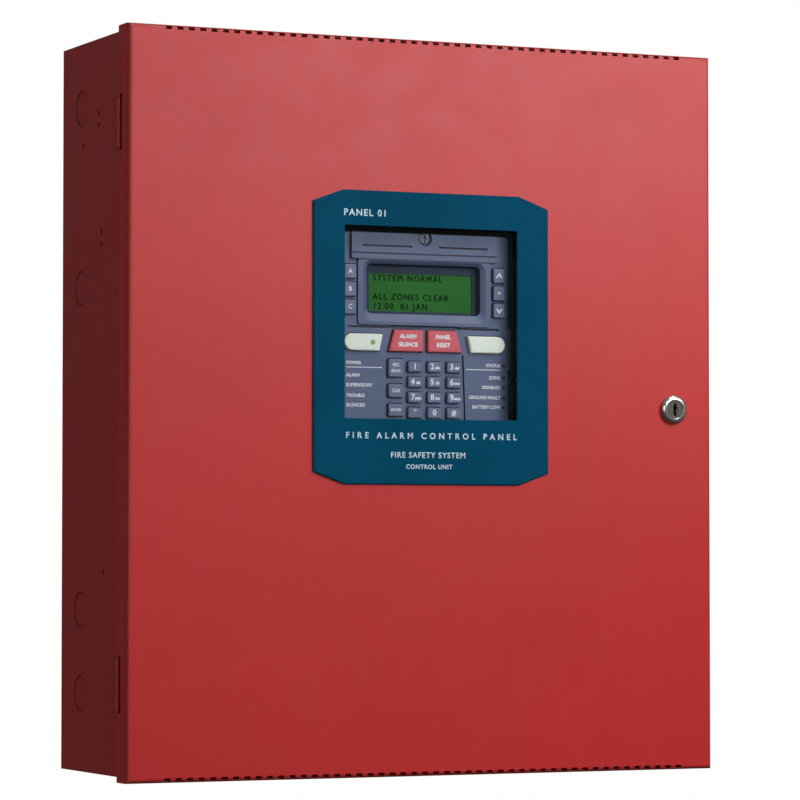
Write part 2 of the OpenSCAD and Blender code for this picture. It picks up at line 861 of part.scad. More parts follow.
module ribbon_cable() {
    z0 = 30;
    x0 = window_x + 44;
    x1 = window_x + 66;
    ya = y_board + 1.6 + 7;
    yb = y_main - main_t - 7;
    r = 4;
    t = 0.9;
    color([0.62, 0.62, 0.6])
    translate([0, 0, z0]) {
        linear_extrude(26) {
            // Out from behind the display board, back, and in to the main board
            translate([x0, ya - t]) square([x1 - r - x0, t]);
            translate([x1 - r, ya - t + r])
                intersection() {
                    difference() {
                        circle(r = r);
                        circle(r = r - t);
                    }
                    translate([0, -r]) square([r, r]);
                }
            translate([x1 - t, ya - t + r]) square([t, yb - ya + 2 * t - 2 * r]);
            translate([x1 + r - t, yb + t - r])
                intersection() {
                    difference() {
                        circle(r = r);
                        circle(r = r - t);
                    }
                    translate([-r, 0]) square([r, r]);
                }
            translate([x1 + r - t, yb]) square([14, t]);
        }
        // Headers
        translate([x0 - 8, y_board + 1.6, -1]) cube([9, 9, 28]);
        translate([x1 + r + 10, yb - 2, -1]) cube([9, 9, 28]);
    }
}

// Door -----------------------------------------------------------------------------------

module door() {
    color(red_paint)
    translate([0, y_front, 0])
        difference() {
            tray_block(door_w, door_h, flange_d, door_bend_r);
            difference() {
                translate([0, sheet_t, 0])
                    tray_block(
                        door_w - 2 * sheet_t, door_h - 2 * sheet_t, flange_d, door_bend_r - sheet_t
                    );
                // Edges folded back on themselves, top and bottom
                for (s = [-1, 1])
                    translate([0, flange_d - hem_d / 2, s * (door_h / 2 - sheet_t - hem_t / 2)])
                        cube([door_w, hem_d, hem_t], center = true);
            }
            at_window() cube([window_w + 1.2, 8, window_h + 1.2], center = true);
            translate([lock_x, 0, lock_z]) rod(-3, 4, lock_hole_r);
            for (s = [-1, 1]) {
                // Vent slots through the bends
                for (i = [0:vent_n - 1])
                    translate([
                        vent_x + (i - (vent_n - 1) / 2) * vent_pitch, 0,
                        s * (door_h / 2 - vent_edge - vent_h / 2)
                    ])
                        cube([vent_w, 6, vent_h], center = true);
                // Notches for the hinge barrels
                translate([-door_w / 2 - 1, flange_d - notch_d, s * hinge_z - notch_h / 2])
                    cube([4, notch_d + 1, notch_h]);
            }
        }
}

module door_hinge_leaves() {
    leaf_x = -door_w / 2 + sheet_t;
    y_leaf = y_front + door_bend_r + 0.2;
    color(red_paint)
    for (s = [-1, 1])
        difference() {
            union() {
                translate([leaf_x, y_leaf, s * hinge_z - 15])
                    cube([leaf_t, hinge_y - 2.9 - y_leaf, 30]);
                for (e = [-1, 1]) {
                    a = knuckle_mid / 2 + knuckle_gap;
                    b = hinge_len / 2;
                    z0 = s * hinge_z + (e > 0 ? a : -b);
                    barrel(z0, z0 + b - a);
                    translate([leaf_x, hinge_y - 3, s * hinge_z + (e > 0 ? a : -15)])
                        cube([leaf_t, 3, 15 - a]);
                }
            }
            pin_bore(s * hinge_z);
        }
}

module octagon(w, h, cx, cz) {
    polygon([
        [-w / 2 + cx, -h / 2], [w / 2 - cx, -h / 2], [w / 2, -h / 2 + cz], [w / 2, h / 2 - cz],
        [w / 2 - cx, h / 2], [-w / 2 + cx, h / 2], [-w / 2, h / 2 - cz], [-w / 2, -h / 2 + cz]
    ]);
}

module door_bezel() {
    bezel_z = -10;
    color([0.03, 0.25, 0.36])
    at_window()
        difference() {
            translate([0.4, 0, bezel_z]) {
                slab(y_front - bezel_t, y_front) octagon(bezel_w - 0.8, bezel_h - 0.8, 22, 8);
                slab(y_front - bezel_t + 0.5, y_front) octagon(bezel_w, bezel_h, 22, 8);
            }
            slab(y_front - bezel_t - 1, y_front + 1) rounded(window_w, window_h, 1);
        }
}

module window_lens() {
    color([0.8, 0.85, 0.88, 0.3])
    at_window()
        difference() {
            slab(y_front + sheet_t, y_front + sheet_t + 1.5) rounded(144, 145, 3);
            for (sx = [-1, 1])
                for (sz = [-1, 1])
                    translate([sx * 68, 0, sz * 68]) rod(y_front, y_front + 5, 1.7);
        }
}

module lens_fixings() {
    y0 = y_front + sheet_t;
    color(steel)
    at_window()
        for (sx = [-1, 1])
            for (sz = [-1, 1])
                translate([sx * 68, 0, sz * 68]) {
                    rod(y0, y0 + 4, 1.5);
                    rod(y0 + 1.5, y0 + 2, 3.4);
                    hex_rod(y0 + 1.9, y0 + 3.6, 5.5);
                }
}

module lock_body() {
    color(steel)
    translate([lock_x, 0, lock_z])
        difference() {
            union() {
                rod(y_front - lock_proud + lock_rim_h, y_front, lock_bezel_r);
                // Turned, rounded rim
                translate([0, y_front - lock_proud + lock_rim_h, 0])
                    rotate([90, 0, 0])
                        rotate_extrude()
                            polygon([
                                [0, -eps],
                                [lock_bezel_r, -eps],
                                for (a = [0:15:90])
                                    [lock_bezel_r - lock_rim_w * (1 - cos(a)), lock_rim_h * sin(a)],
                                [0, lock_rim_h]
                            ]);
                rod(y_front - eps, y_lock_rear, lock_body_r);
            }
            rod(y_front - lock_proud - 1, y_lock_rear + 1, plug_bore_r);
        }
}

module lock_nut() {
    color(steel)
    translate([lock_x, 0, lock_z])
        difference() {
            hex_rod(y_front + sheet_t, y_front + sheet_t + nut_t, 21.6);
            rod(y_front, y_front + 8, lock_body_r + 0.05);
        }
}

module lock_plug() {
    color(steel)
    translate([lock_x, 0, lock_z])
        difference() {
            union() {
                rod(y_front - lock_proud + 0.5, y_lock_rear + 0.4, plug_r);
                slab(y_lock_rear + 0.3, y_lock_rear + 0.4 + cam_t) square([6, 6], center = true);
                rod(y_lock_rear + 0.4 + cam_t, y_lock_rear + 3.6, 3.9);
            }
            // Keyway
            slab(y_front - lock_proud, y_front + 8) {
                square([1.9, 8.4], center = true);
                translate([0.9, 1]) square([1.4, 2.4], center = true);
            }
            slab(y_front - lock_proud, y_front - lock_proud + 1.1) circle(r = 2.6);
        }
}

module lock_cam() {
    y0 = y_lock_rear + 0.4;
    color(steel)
    translate([lock_x, 0, lock_z])
        difference() {
            union() {
                slab(y0, y0 + cam_t) {
                    circle(r = 7);
                    translate([-6, -cam_step]) square([12, cam_step]);
                }
                translate([-6, y_front + 4.7, -cam_step]) cube([12, y0 + cam_t - y_front - 4.7, cam_t]);
                slab(y_front + 4.7, y_front + 4.7 + cam_t)
                    translate([-6, -cam_reach]) square([12, cam_reach - cam_step + cam_t]);
            }
            slab(y0 - 1, y0 + cam_t + 1) square([6.1, 6.1], center = true);
        }
}

// Nodes ----------------------------------------------------------------------------------

backbox();
knockout_slugs();
box_hinge_leaves();
hinge_pins();
chassis_plate();
panel_screws();
board_standoffs();
main_board();
terminal_blocks();
terminal_screws();
board_chips();
capacitors();
transformer_core();
transformer_coil();
mains_block();
display_board();
display_posts();
key_switches();
keypad_housing();
lcd_frame();
lcd_glass();
status_leds();
batteries();
battery_terminals();
battery_leads();
ribbon_cable();
door();
door_hinge_leaves();
door_bezel();
window_lens();
lens_fixings();
lock_body();
lock_nut();
lock_plug();
lock_cam();
key_left_top();
key_left_middle();
key_left_bottom();
key_right_top();
key_right_middle();
key_right_bottom();
key_red_left();
key_red_right();
key_white_left();
key_white_right();
key_function_top();
key_function_middle();
key_function_bottom();
key_digit_1();
key_digit_2();
key_digit_3();
key_digit_4();
key_digit_5();
key_digit_6();
key_digit_7();
key_digit_8();
key_digit_9();
key_star();
key_digit_0();
key_hash();
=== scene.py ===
"""Looks for the fire alarm control panel: materials, printed legends, board details, lights and camera."""

import json
import math

import bmesh
import bpy
from mathutils import Matrix, Vector

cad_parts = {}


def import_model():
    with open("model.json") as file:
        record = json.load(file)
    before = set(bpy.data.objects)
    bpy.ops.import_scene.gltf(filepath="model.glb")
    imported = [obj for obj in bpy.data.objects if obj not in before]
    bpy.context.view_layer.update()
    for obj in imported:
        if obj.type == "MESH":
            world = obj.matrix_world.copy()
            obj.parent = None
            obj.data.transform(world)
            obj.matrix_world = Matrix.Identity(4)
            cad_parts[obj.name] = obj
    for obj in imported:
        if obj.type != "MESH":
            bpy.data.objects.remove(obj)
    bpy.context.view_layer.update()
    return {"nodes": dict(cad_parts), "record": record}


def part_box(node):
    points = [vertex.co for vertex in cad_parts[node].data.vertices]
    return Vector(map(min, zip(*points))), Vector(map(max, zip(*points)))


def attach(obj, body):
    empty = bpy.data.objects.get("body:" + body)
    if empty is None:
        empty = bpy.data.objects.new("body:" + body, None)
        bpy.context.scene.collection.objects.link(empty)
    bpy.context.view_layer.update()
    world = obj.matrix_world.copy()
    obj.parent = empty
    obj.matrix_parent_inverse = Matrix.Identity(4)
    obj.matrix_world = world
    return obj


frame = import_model()
NODES = frame["nodes"]
MM = 0.001

# ---------------------------------------------------------------------------------------
# Places, all taken from the CAD nodes

LENS_LOW, LENS_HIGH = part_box("window_lens")
WINDOW = (LENS_LOW + LENS_HIGH) / 2
BROW_UP = 2.2 * MM
PAD_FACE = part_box("keypad_housing")[0].y + BROW_UP
BEZEL_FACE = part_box("door_bezel")[0].y
BOARD_LOW, BOARD_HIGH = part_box("main_board")
PRINT = 0.06 * MM  # thickness of printed ink


# ---------------------------------------------------------------------------------------
# Materials


class Shader:
    """A small helper that adds nodes to one Principled material."""

    def __init__(self, name, **sockets):
        self.material = bpy.data.materials.new(name)
        self.material.use_nodes = True
        self.tree = self.material.node_tree
        self.bsdf = self.tree.nodes["Principled BSDF"]
        for key, value in sockets.items():
            self.bsdf.inputs[key.replace("_", " ")].default_value = value
        self.coords = self.node("ShaderNodeTexCoord").outputs["Object"]

    def node(self, kind, **settings):
        made = self.tree.nodes.new(kind)
        for key, value in settings.items():
            setattr(made, key, value)
        return made

    def link(self, source, target):
        self.tree.links.new(source, target)

    def noise(self, scale, detail=3.0, rough=0.5, stretch=None):
        made = self.node("ShaderNodeTexNoise")
        made.inputs["Scale"].default_value = scale
        made.inputs["Detail"].default_value = detail
        made.inputs["Roughness"].default_value = rough
        source = self.coords
        if stretch:
            mapping = self.node("ShaderNodeMapping")
            mapping.inputs["Scale"].default_value = stretch
            self.link(source, mapping.inputs["Vector"])
            source = mapping.outputs["Vector"]
        self.link(source, made.inputs["Vector"])
        return made.outputs["Fac"]

    def ramp(self, source, stops):
        made = self.node("ShaderNodeValToRGB")
        elements = made.color_ramp.elements
        while len(elements) < len(stops):
            elements.new(0.5)
        for element, (place, colour) in zip(elements, stops):
            element.position = place
            element.color = (*colour, 1.0)
        self.link(source, made.inputs["Fac"])
        return made.outputs["Color"]

    def map_range(self, source, low, high, out_low, out_high):
        made = self.node("ShaderNodeMapRange")
        for key, value in zip(("From Min", "From Max", "To Min", "To Max"), (low, high, out_low, out_high)):
            made.inputs[key].default_value = value
        self.link(source, made.inputs["Value"])
        return made.outputs["Result"]

    def mix(self, factor, first, second, blend="MIX"):
        made = self.node("ShaderNodeMix", data_type="RGBA", blend_type=blend)
        if isinstance(factor, float):
            made.inputs["Factor"].default_value = factor
        else:
            self.link(factor, made.inputs["Factor"])
        for slot, value in (("A", first), ("B", second)):
            socket = [s for s in made.inputs if s.name == slot and s.type == "RGBA"][0]
            if isinstance(value, tuple):
                socket.default_value = (*value, 1.0)
            else:
                self.link(value, socket)
        return [s for s in made.outputs if s.type == "RGBA"][0]

    def bump(self, source, strength, distance=0.0002, below=None):
        made = self.node("ShaderNodeBump")
        made.inputs["Strength"].default_value = strength
        made.inputs["Distance"].default_value = distance
        self.link(source, made.inputs["Height"])
        if below is not None:
            self.link(below, made.inputs["Normal"])
        self.link(made.outputs["Normal"], self.bsdf.inputs["Normal"])
        return made.outputs["Normal"]

    def edges(self, radius, sharp=1.0):
        """1 on sharp edges, 0 on flats, from how far a rounded normal turns from the true one; it masks
        painted shade in creases and painted highlights on edges.
        """
        bevel = self.node("ShaderNodeBevel", samples=4)
        bevel.inputs["Radius"].default_value = radius
        true = self.node("ShaderNodeNewGeometry").outputs["Normal"]
        dot = self.node("ShaderNodeVectorMath", operation="DOT_PRODUCT")
        self.link(bevel.outputs["Normal"], dot.inputs[0])
        self.link(true, dot.inputs[1])
        return self.map_range(dot.outputs["Value"], 1.0, 1.0 - 0.25 / sharp, 0.0, 1.0)

    def folds(self):
        """1 on rounded folds and bores, 0 on faces square to the object's axes: the mask for the painted
        shade and reflection on folds.
        """
        normal = self.node("ShaderNodeTexCoord").outputs["Normal"]
        size = self.node("ShaderNodeVectorMath", operation="ABSOLUTE")
        self.link(normal, size.inputs[0])
        split = self.node("ShaderNodeSeparateXYZ")
        self.link(size.outputs["Vector"], split.inputs["Vector"])
        largest = split.outputs["X"]
        for axis in ("Y", "Z"):
            more = self.node("ShaderNodeMath", operation="MAXIMUM")
            self.link(largest, more.inputs[0])
            self.link(split.outputs[axis], more.inputs[1])
            largest = more.outputs[0]
        return self.map_range(largest, 0.995, 0.86, 0.0, 1.0)

    def sides(self):
        """1 on faces turned to the object's left or right: the mask for painted light on the sides."""
        normal = self.node("ShaderNodeTexCoord").outputs["Normal"]
        split = self.node("ShaderNodeSeparateXYZ")
        self.link(normal, split.inputs["Vector"])
        size = self.node("ShaderNodeMath", operation="ABSOLUTE")
        self.link(split.outputs["X"], size.inputs[0])
        return self.map_range(size.outputs[0], 0.97, 0.998, 0.0, 1.0)

    def painted_gap_shade(self, reach):
        """1 deep in a gap, 0 in the open: the mask for painted shade in gaps."""
        near = self.node("ShaderNodeAmbientOcclusion", samples=8)
        near.inputs["Distance"].default_value = reach
        return self.map_range(near.outputs["AO"], 0.85, 0.45, 0.0, 1.0)

    def colour(self, source):
        self.link(source, self.bsdf.inputs["Base Color"])

    def roughness(self, source):
        self.link(source, self.bsdf.inputs["Roughness"])


CREASE_SHADE_RADIUS = 0.0014
HINGE_SHADE_REACH = 0.006
KEY_SHADE_REACH = 0.0022


def powder_coat(name, reds, fold_shade_tone, fold_shade_amount, crease_shade_tone=None, side_painted_light=None, gap_shade_tone=None):
    """Red powder coat with a painted shade and reflection tone on its folds and, where asked, painted shade
    in its creases and gaps and painted light on its sides.
    """
    s = Shader(name, IOR=1.5)
    broad = s.noise(7.0, 2.0)
    speck = s.noise(1400.0, 2.0)
    base = s.ramp(broad, [(0.3, reds[0]), (0.7, reds[1])])
    base = s.mix(s.map_range(speck, 0.35, 0.75, 0.0, 0.06), base, (0.62, 0.04, 0.04))
    # Painted shade and reflection: folds and bores are pulled towards a darker, greyer tone
    base = s.mix(s.map_range(s.folds(), 0.0, 1.0, 0.0, fold_shade_amount), base, fold_shade_tone)
    # Painted shade: creases and the rings round the knockouts are darkened
    if crease_shade_tone:
        base = s.mix(s.map_range(s.edges(CREASE_SHADE_RADIUS, 2.5), 0.0, 1.0, 0.0, 0.85), base, crease_shade_tone)
    # Painted light: faces turned left or right get a brighter, more saturated red
    if side_painted_light:
        base = s.mix(s.sides(), base, side_painted_light)
    # Painted shade: surfaces deep in a gap are darkened
    if gap_shade_tone:
        base = s.mix(s.painted_gap_shade(HINGE_SHADE_REACH), base, gap_shade_tone)
    s.colour(base)
    s.roughness(s.map_range(s.noise(40.0, 3.0), 0.3, 0.7, 0.425, 0.475))
    peel = s.bump(s.noise(900.0, 2.0), 0.10, 0.00008)
    s.bump(s.noise(220.0, 2.0), 0.05, 0.0003, below=peel)
    return s.material


def moulded(name, dark, light, rough=0.5, edge=0.12, gap_shade_tone=None, **sockets):
    """Moulded plastic with a fine spark-eroded grain, a painted highlight on its edges and, if asked, painted
    shade in its gaps.
    """
    s = Shader(name, **sockets)
    base = s.ramp(s.noise(18.0, 3.0), [(0.3, dark), (0.7, light)])
    # Painted highlight: edges are lightened towards a pale tone
    pale = tuple(min(1.0, c * 1.6 + 0.03) for c in light)
    base = s.mix(s.map_range(s.edges(0.0004), 0.0, 1.0, 0.0, edge), base, pale)
    # Painted shade: surfaces deep in a gap are darkened
    if gap_shade_tone:
        base = s.mix(s.painted_gap_shade(KEY_SHADE_REACH), base, gap_shade_tone)
    s.colour(base)
    s.roughness(s.map_range(s.noise(60.0, 3.0), 0.3, 0.7, rough - 0.06, rough + 0.06))
    s.bump(s.noise(1600.0, 2.0), 0.12, 0.00005)
    return s.material


def metal(name, tint, rough, stretch=(1.0, 1.0, 14.0), scale=420.0, depth=0.06):
    """Bare or plated metal with brushing along one axis and faint smudges."""
    s = Shader(name, Metallic=1.0)
    smudge = s.noise(30.0, 4.0)
    dark = tuple(c * 0.82 for c in tint)
    s.colour(s.ramp(smudge, [(0.25, dark), (0.75, tint)]))
    brush = s.noise(scale, 3.0, stretch=stretch)
    s.roughness(s.map_range(brush, 0.25, 0.75, rough - 0.07, rough + 0.09))
    s.bump(brush, depth, 0.00006)
    return s.material


def galvanised():
    s = Shader("zinc_plated_sheet", Metallic=1.0)
    cells = s.node("ShaderNodeTexVoronoi")
    cells.inputs["Scale"].default_value = 130.0
    s.link(s.coords, cells.inputs["Vector"])
    grey = s.ramp(cells.outputs["Color"], [(0.2, (0.44, 0.45, 0.46)), (0.8, (0.62, 0.63, 0.64))])
    s.colour(grey)
    s.roughness(s.map_range(s.noise(90.0, 3.0), 0.3, 0.7, 0.34, 0.5))
    s.bump(cells.outputs["Distance"], 0.05, 0.0001)
    return s.material


def circuit_board(name):
    """Green solder mask with faint copper tracks showing through."""
    s = Shader(name, Roughness=0.38, IOR=1.5)
    tracks = s.node("ShaderNodeTexBrick", offset=0.37, squash=0.6)
    for key, value in (
        ("Scale", 70.0), ("Mortar Size", 0.07), ("Brick Width", 0.9), ("Row Height", 0.12),
        ("Color1", (0.005, 0.052, 0.026, 1)), ("Color2", (0.007, 0.060, 0.030, 1)),
        ("Mortar", (0.016, 0.10, 0.045, 1)),
    ):
        tracks.inputs[key].default_value = value
    turned = s.node("ShaderNodeMapping")
    turned.inputs["Rotation"].default_value = (math.radians(90), 0, 0)
    s.link(s.coords, turned.inputs["Vector"])
    s.link(turned.outputs["Vector"], tracks.inputs["Vector"])
    patches = s.map_range(s.noise(25.0), 0.4, 0.6, 0.2, 1.0)
    s.colour(s.mix(patches, (0.006, 0.056, 0.028), tracks.outputs["Color"]))
    s.bump(tracks.outputs["Fac"], 0.15, 0.00004)
    return s.material


def fastener_steel():
    """Plated screws; the one in the display's brow is blackened."""
    s = Shader("fastener_steel", Metallic=1.0)
    split = s.node("ShaderNodeSeparateXYZ")
    s.link(s.coords, split.inputs["Vector"])
    forward = s.map_range(split.outputs["Y"], -0.090, -0.080, 1.0, 0.0)
    plated = s.ramp(s.noise(60.0, 3.0), [(0.3, (0.50, 0.51, 0.52)), (0.7, (0.62, 0.63, 0.64))])
    s.colour(s.mix(forward, plated, (0.055, 0.062, 0.080)))
    s.roughness(s.map_range(s.noise(500.0), 0.3, 0.7, 0.26, 0.40))
    s.bump(s.noise(700.0, stretch=(1.0, 9.0, 1.0)), 0.06, 0.00005)
    return s.material


def ink(name, dark, light, rough=0.45, **sockets):
    s = Shader(name, **sockets)
    s.colour(s.ramp(s.noise(700.0, 2.0), [(0.35, dark), (0.65, light)]))
    s.roughness(s.map_range(s.noise(300.0), 0.3, 0.7, rough - 0.05, rough + 0.08))
    s.bump(s.noise(1800.0), 0.05, 0.00002)
    return s.material


def clear_sheet():
    """Clear polycarbonate: nearly invisible face on, with a soft gloss."""
    s = Shader("window_clear", Alpha=0.045, IOR=1.5)
    s.colour(s.ramp(s.noise(9.0), [(0.3, (0.030, 0.036, 0.040)), (0.7, (0.045, 0.050, 0.055))]))
    s.roughness(s.map_range(s.noise(45.0, 4.0), 0.35, 0.7, 0.05, 0.10))
    s.bump(s.noise(35.0, 2.0), 0.02, 0.0001)
    return s.material


def display_glass():
    """Green display: an even backlight with faint rows of character cells."""
    s = Shader("display_green", Roughness=0.28, Specular_IOR_Level=0.2)
    split = s.node("ShaderNodeSeparateXYZ")
    s.link(s.coords, split.inputs["Vector"])
    glow = s.noise(30.0, 2.0)
    base = s.ramp(glow, [(0.25, (0.003, 0.100, 0.003)), (0.75, (0.007, 0.125, 0.006))])
    cells = s.node("ShaderNodeTexWave", bands_direction="X")
    cells.inputs["Scale"].default_value = 90.0
    s.link(s.coords, cells.inputs["Vector"])
    base = s.mix(s.map_range(cells.outputs["Fac"], 0.0, 1.0, 0.0, 0.12), base, (0.012, 0.10, 0.012))
    s.colour(base)
    s.link(base, s.bsdf.inputs["Emission Color"])
    s.bsdf.inputs["Emission Strength"].default_value = 0.12
    s.bump(s.noise(900.0), 0.04, 0.00003)
    return s.material


def two_lead_wire():
    """Red insulation on the left lead and black on the right, as on a battery."""
    s = Shader("wire_insulation", Roughness=0.42)
    split = s.node("ShaderNodeSeparateXYZ")
    s.link(s.coords, split.inputs["Vector"])
    side = s.map_range(split.outputs["X"], -0.036, -0.030, 0.0, 1.0)
    mottle = s.ramp(s.noise(90.0), [(0.3, (0.36, 0.012, 0.012)), (0.7, (0.45, 0.02, 0.02))])
    s.colour(s.mix(side, mottle, (0.014, 0.014, 0.015)))
    s.bump(s.noise(600.0, stretch=(1.0, 1.0, 0.2)), 0.08, 0.0001)
    return s.material


# Dark and light of the red on the door and on the box, linear RGB. The box's red is a brighter, more
# saturated copy of the same paint, which paints in light on the box's shaded sides.
DOOR_REDS = ((0.475, 0.0085, 0.0090), (0.510, 0.0105, 0.0110))
BOX_REDS_WITH_PAINTED_LIGHT = ((0.540, 0.0050, 0.0055), (0.580, 0.0070, 0.0075))

MATERIALS = {
    # The door's folds get painted shade and reflection, and its left and right faces painted light
    "red_paint": powder_coat(
        "red_powder_coat", DOOR_REDS, (0.34, 0.036, 0.034), 0.85, side_painted_light=(0.66, 0.006, 0.006)
    ),
    "steel": metal("plated_steel", (0.60, 0.61, 0.62), 0.30),
    "zinc_sheet": galvanised(),
    "standoff_brass": metal("nickel_brass", (0.62, 0.52, 0.32), 0.28),
    "circuit_board": circuit_board("circuit_board"),
    "terminal_plastic": moulded("terminal_green", (0.012, 0.14, 0.05), (0.02, 0.18, 0.07), 0.45),
    "black_plastic": moulded("component_black", (0.014, 0.014, 0.015), (0.022, 0.022, 0.024), 0.5),
    "capacitor_sleeve": moulded("capacitor_sleeve", (0.010, 0.014, 0.05), (0.016, 0.022, 0.07), 0.28),
    "core_lacquer": metal("core_lacquer", (0.16, 0.15, 0.15), 0.42, stretch=(1.0, 30.0, 1.0), scale=300.0),
    "coil_tape": moulded("coil_tape", (0.42, 0.25, 0.03), (0.52, 0.33, 0.05), 0.35),
    # The keypad housing gets painted shade in the gaps round the keys and a painted highlight on its edges
    "housing_plastic": moulded(
        "housing_slate", (0.072, 0.108, 0.213), (0.083, 0.123, 0.240), 0.50, edge=0.35,
        gap_shade_tone=(0.006, 0.012, 0.030),
    ),
    "key_plastic": moulded("key_slate", (0.100, 0.140, 0.244), (0.117, 0.162, 0.278), 0.46, edge=0.4),
    "key_red": moulded("key_red", (0.60, 0.080, 0.108), (0.68, 0.102, 0.136), 0.40, edge=0.3),
    "key_white": moulded("key_white", (0.74, 0.83, 0.76), (0.81, 0.90, 0.83), 0.40, edge=0.2),
    "display_frame": moulded(
        "display_frame", (0.018, 0.032, 0.062), (0.024, 0.040, 0.076), 0.6, Specular_IOR_Level=0.2
    ),
    "display_glass": display_glass(),
    "led_lens": moulded("led_lens", (0.045, 0.050, 0.070), (0.070, 0.075, 0.100), 0.22),
    "battery_case": moulded("battery_case", (0.022, 0.024, 0.028), (0.032, 0.034, 0.038), 0.48),
    "terminal_metal": metal("tinned_terminal", (0.62, 0.61, 0.58), 0.33),
    "wire_insulation": two_lead_wire(),
    "ribbon_insulation": moulded("ribbon_grey", (0.15, 0.15, 0.155), (0.19, 0.19, 0.195), 0.5),
    "bezel_plastic": moulded(
        "bezel_blue", (0.0006, 0.055, 0.110), (0.0010, 0.066, 0.130), 0.5, edge=0.2, Specular_IOR_Level=0.02
    ),
    "window_clear": clear_sheet(),
    "lock_chrome": metal("lock_chrome", (0.56, 0.53, 0.52), 0.20, stretch=(1.0, 1.0, 1.0), scale=500.0),
}
WHITE_INK = ink("white_ink", (0.68, 0.74, 0.80), (0.80, 0.85, 0.88))
BEZEL_INK = ink("bezel_ink", (0.42, 0.58, 0.66), (0.52, 0.68, 0.75))
BLACK_INK = ink("black_ink", (0.010, 0.010, 0.012), (0.020, 0.020, 0.022), 0.5)
LABEL_GREY = ink("label_grey", (0.34, 0.35, 0.36), (0.42, 0.43, 0.44), 0.5)
DISPLAY_INK = ink("display_ink", (0.001, 0.010, 0.002), (0.002, 0.014, 0.003), 0.7, Specular_IOR_Level=0.05)
GREEN_LED = moulded("green_led", (0.26, 0.40, 0.12), (0.33, 0.48, 0.17), 0.3)

NODE_MATERIALS = {
    "panel_screws": fastener_steel(),
    # The box's folds and creases get painted shade; its red is the brighter copy that paints in light on its
    # sides
    "backbox": powder_coat("red_powder_coat_box", BOX_REDS_WITH_PAINTED_LIGHT, (0.15, 0.006, 0.006), 0.8, (0.075, 0.003, 0.003)),
    "lock_plug": metal("lock_plug_nickel", (0.13, 0.12, 0.105), 0.34, stretch=(1.0, 1.0, 1.0), scale=500.0),
}
NODE_MATERIALS["knockout_slugs"] = NODE_MATERIALS["backbox"]
# Hinge leaves: painted shade in the gaps round the barrels and a paler painted reflection tone on their folds
for hinge_node in ("box_hinge_leaves", "door_hinge_leaves"):
    NODE_MATERIALS[hinge_node] = powder_coat(
        "red_powder_coat_" + hinge_node, BOX_REDS_WITH_PAINTED_LIGHT, (0.40, 0.05, 0.05), 0.6, gap_shade_tone=(0.06, 0.002, 0.002)
    )

for entry in frame["record"]["subparts"]:
    node = NODES[entry["node"]]
    node.data.materials.clear()
    node.data.materials.append(NODE_MATERIALS.get(entry["node"]) or MATERIALS[entry["material_slot"]])

# ---------------------------------------------------------------------------------------
# Softened edges on the CAD nodes


def soften(name, width, angle=35, segments=2):
    node = NODES[name]
    weld = node.modifiers.new("weld", "WELD")
    weld.merge_threshold = 0.000002
    bevel = node.modifiers.new("soft_edges", "BEVEL")
    bevel.width = width
    bevel.segments = segments
    bevel.limit_method = "ANGLE"
    bevel.angle_limit = math.radians(angle)
    bevel.use_clamp_overlap = True
    normals = node.modifiers.new("flat_faces", "WEIGHTED_NORMAL")
    normals.keep_sharp = True
    normals.weight = 100


SOFT = {
    "door_bezel": 0.45, "keypad_housing": 0.35, "lcd_frame": 0.25, "lock_body": 0.3, "lock_cam": 0.2,
    "batteries": 0.8, "mains_block": 0.4, "terminal_blocks": 0.2, "chassis_plate": 0.25, "board_chips": 0.12,
    "door": 0.25,
}
for name, width in SOFT.items():
    soften(name, width * MM)
for name in NODES:
    if name.startswith("key_") and name != "key_switches":
        soften(name, 0.3 * MM)

# ---------------------------------------------------------------------------------------
# Pieces


def place(obj, body, slot, material):
    obj.data.materials.clear()
    obj.data.materials.append(material)
    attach(obj, body)
    return obj


def text_mesh(text, size, at, align="CENTER", spacing=1.0, bold=0.0, squeeze=1.0):
    """Mesh data of one line of lettering that faces the viewer, lying in the plane y = at.y."""
    curve = bpy.data.curves.new("line", "FONT")
    curve.body = text
    curve.size = size
    curve.align_x = align
    curve.align_y = "CENTER"
    curve.space_character = spacing
    curve.offset = bold
    curve.extrude = PRINT / 2
    curve.resolution_u = 3
    obj = bpy.data.objects.new("line", curve)
    bpy.context.scene.collection.objects.link(obj)
    bpy.context.view_layer.update()
    mesh = bpy.data.meshes.new_from_object(obj.evaluated_get(bpy.context.evaluated_depsgraph_get()))
    bpy.data.objects.remove(obj)
    bpy.data.curves.remove(curve)
    turn = Matrix.Rotation(math.radians(90), 4, "X")
    mesh.transform(Matrix.Translation(at) @ turn @ Matrix.Diagonal((squeeze, 1.0, 1.0, 1.0)))
    return mesh


def joined(name, meshes):
    """One object from several meshes."""
    bm = bmesh.new()
    for mesh in meshes:
        bm.from_mesh(mesh)
        bpy.data.meshes.remove(mesh)
    out = bpy.data.meshes.new(name)
    bm.to_mesh(out)
    bm.free()
    obj = bpy.data.objects.new(name, out)
    bpy.context.scene.collection.objects.link(obj)
    return obj


def box_mesh(low, high, bevel=0.0):
    bm = bmesh.new()
    bmesh.ops.create_cube(bm, size=1.0)
    low, high = Vector(low), Vector(high)
    size, mid = high - low, (low + high) / 2
    for v in bm.verts:
        v.co = Vector(v.co[i] * size[i] + mid[i] for i in range(3))
    if bevel:
        bmesh.ops.bevel(bm, geom=bm.edges[:], offset=bevel, segments=2, profile=0.5, affect="EDGES")
    mesh = bpy.data.meshes.new("box")
    bm.to_mesh(mesh)
    bm.free()
    return mesh


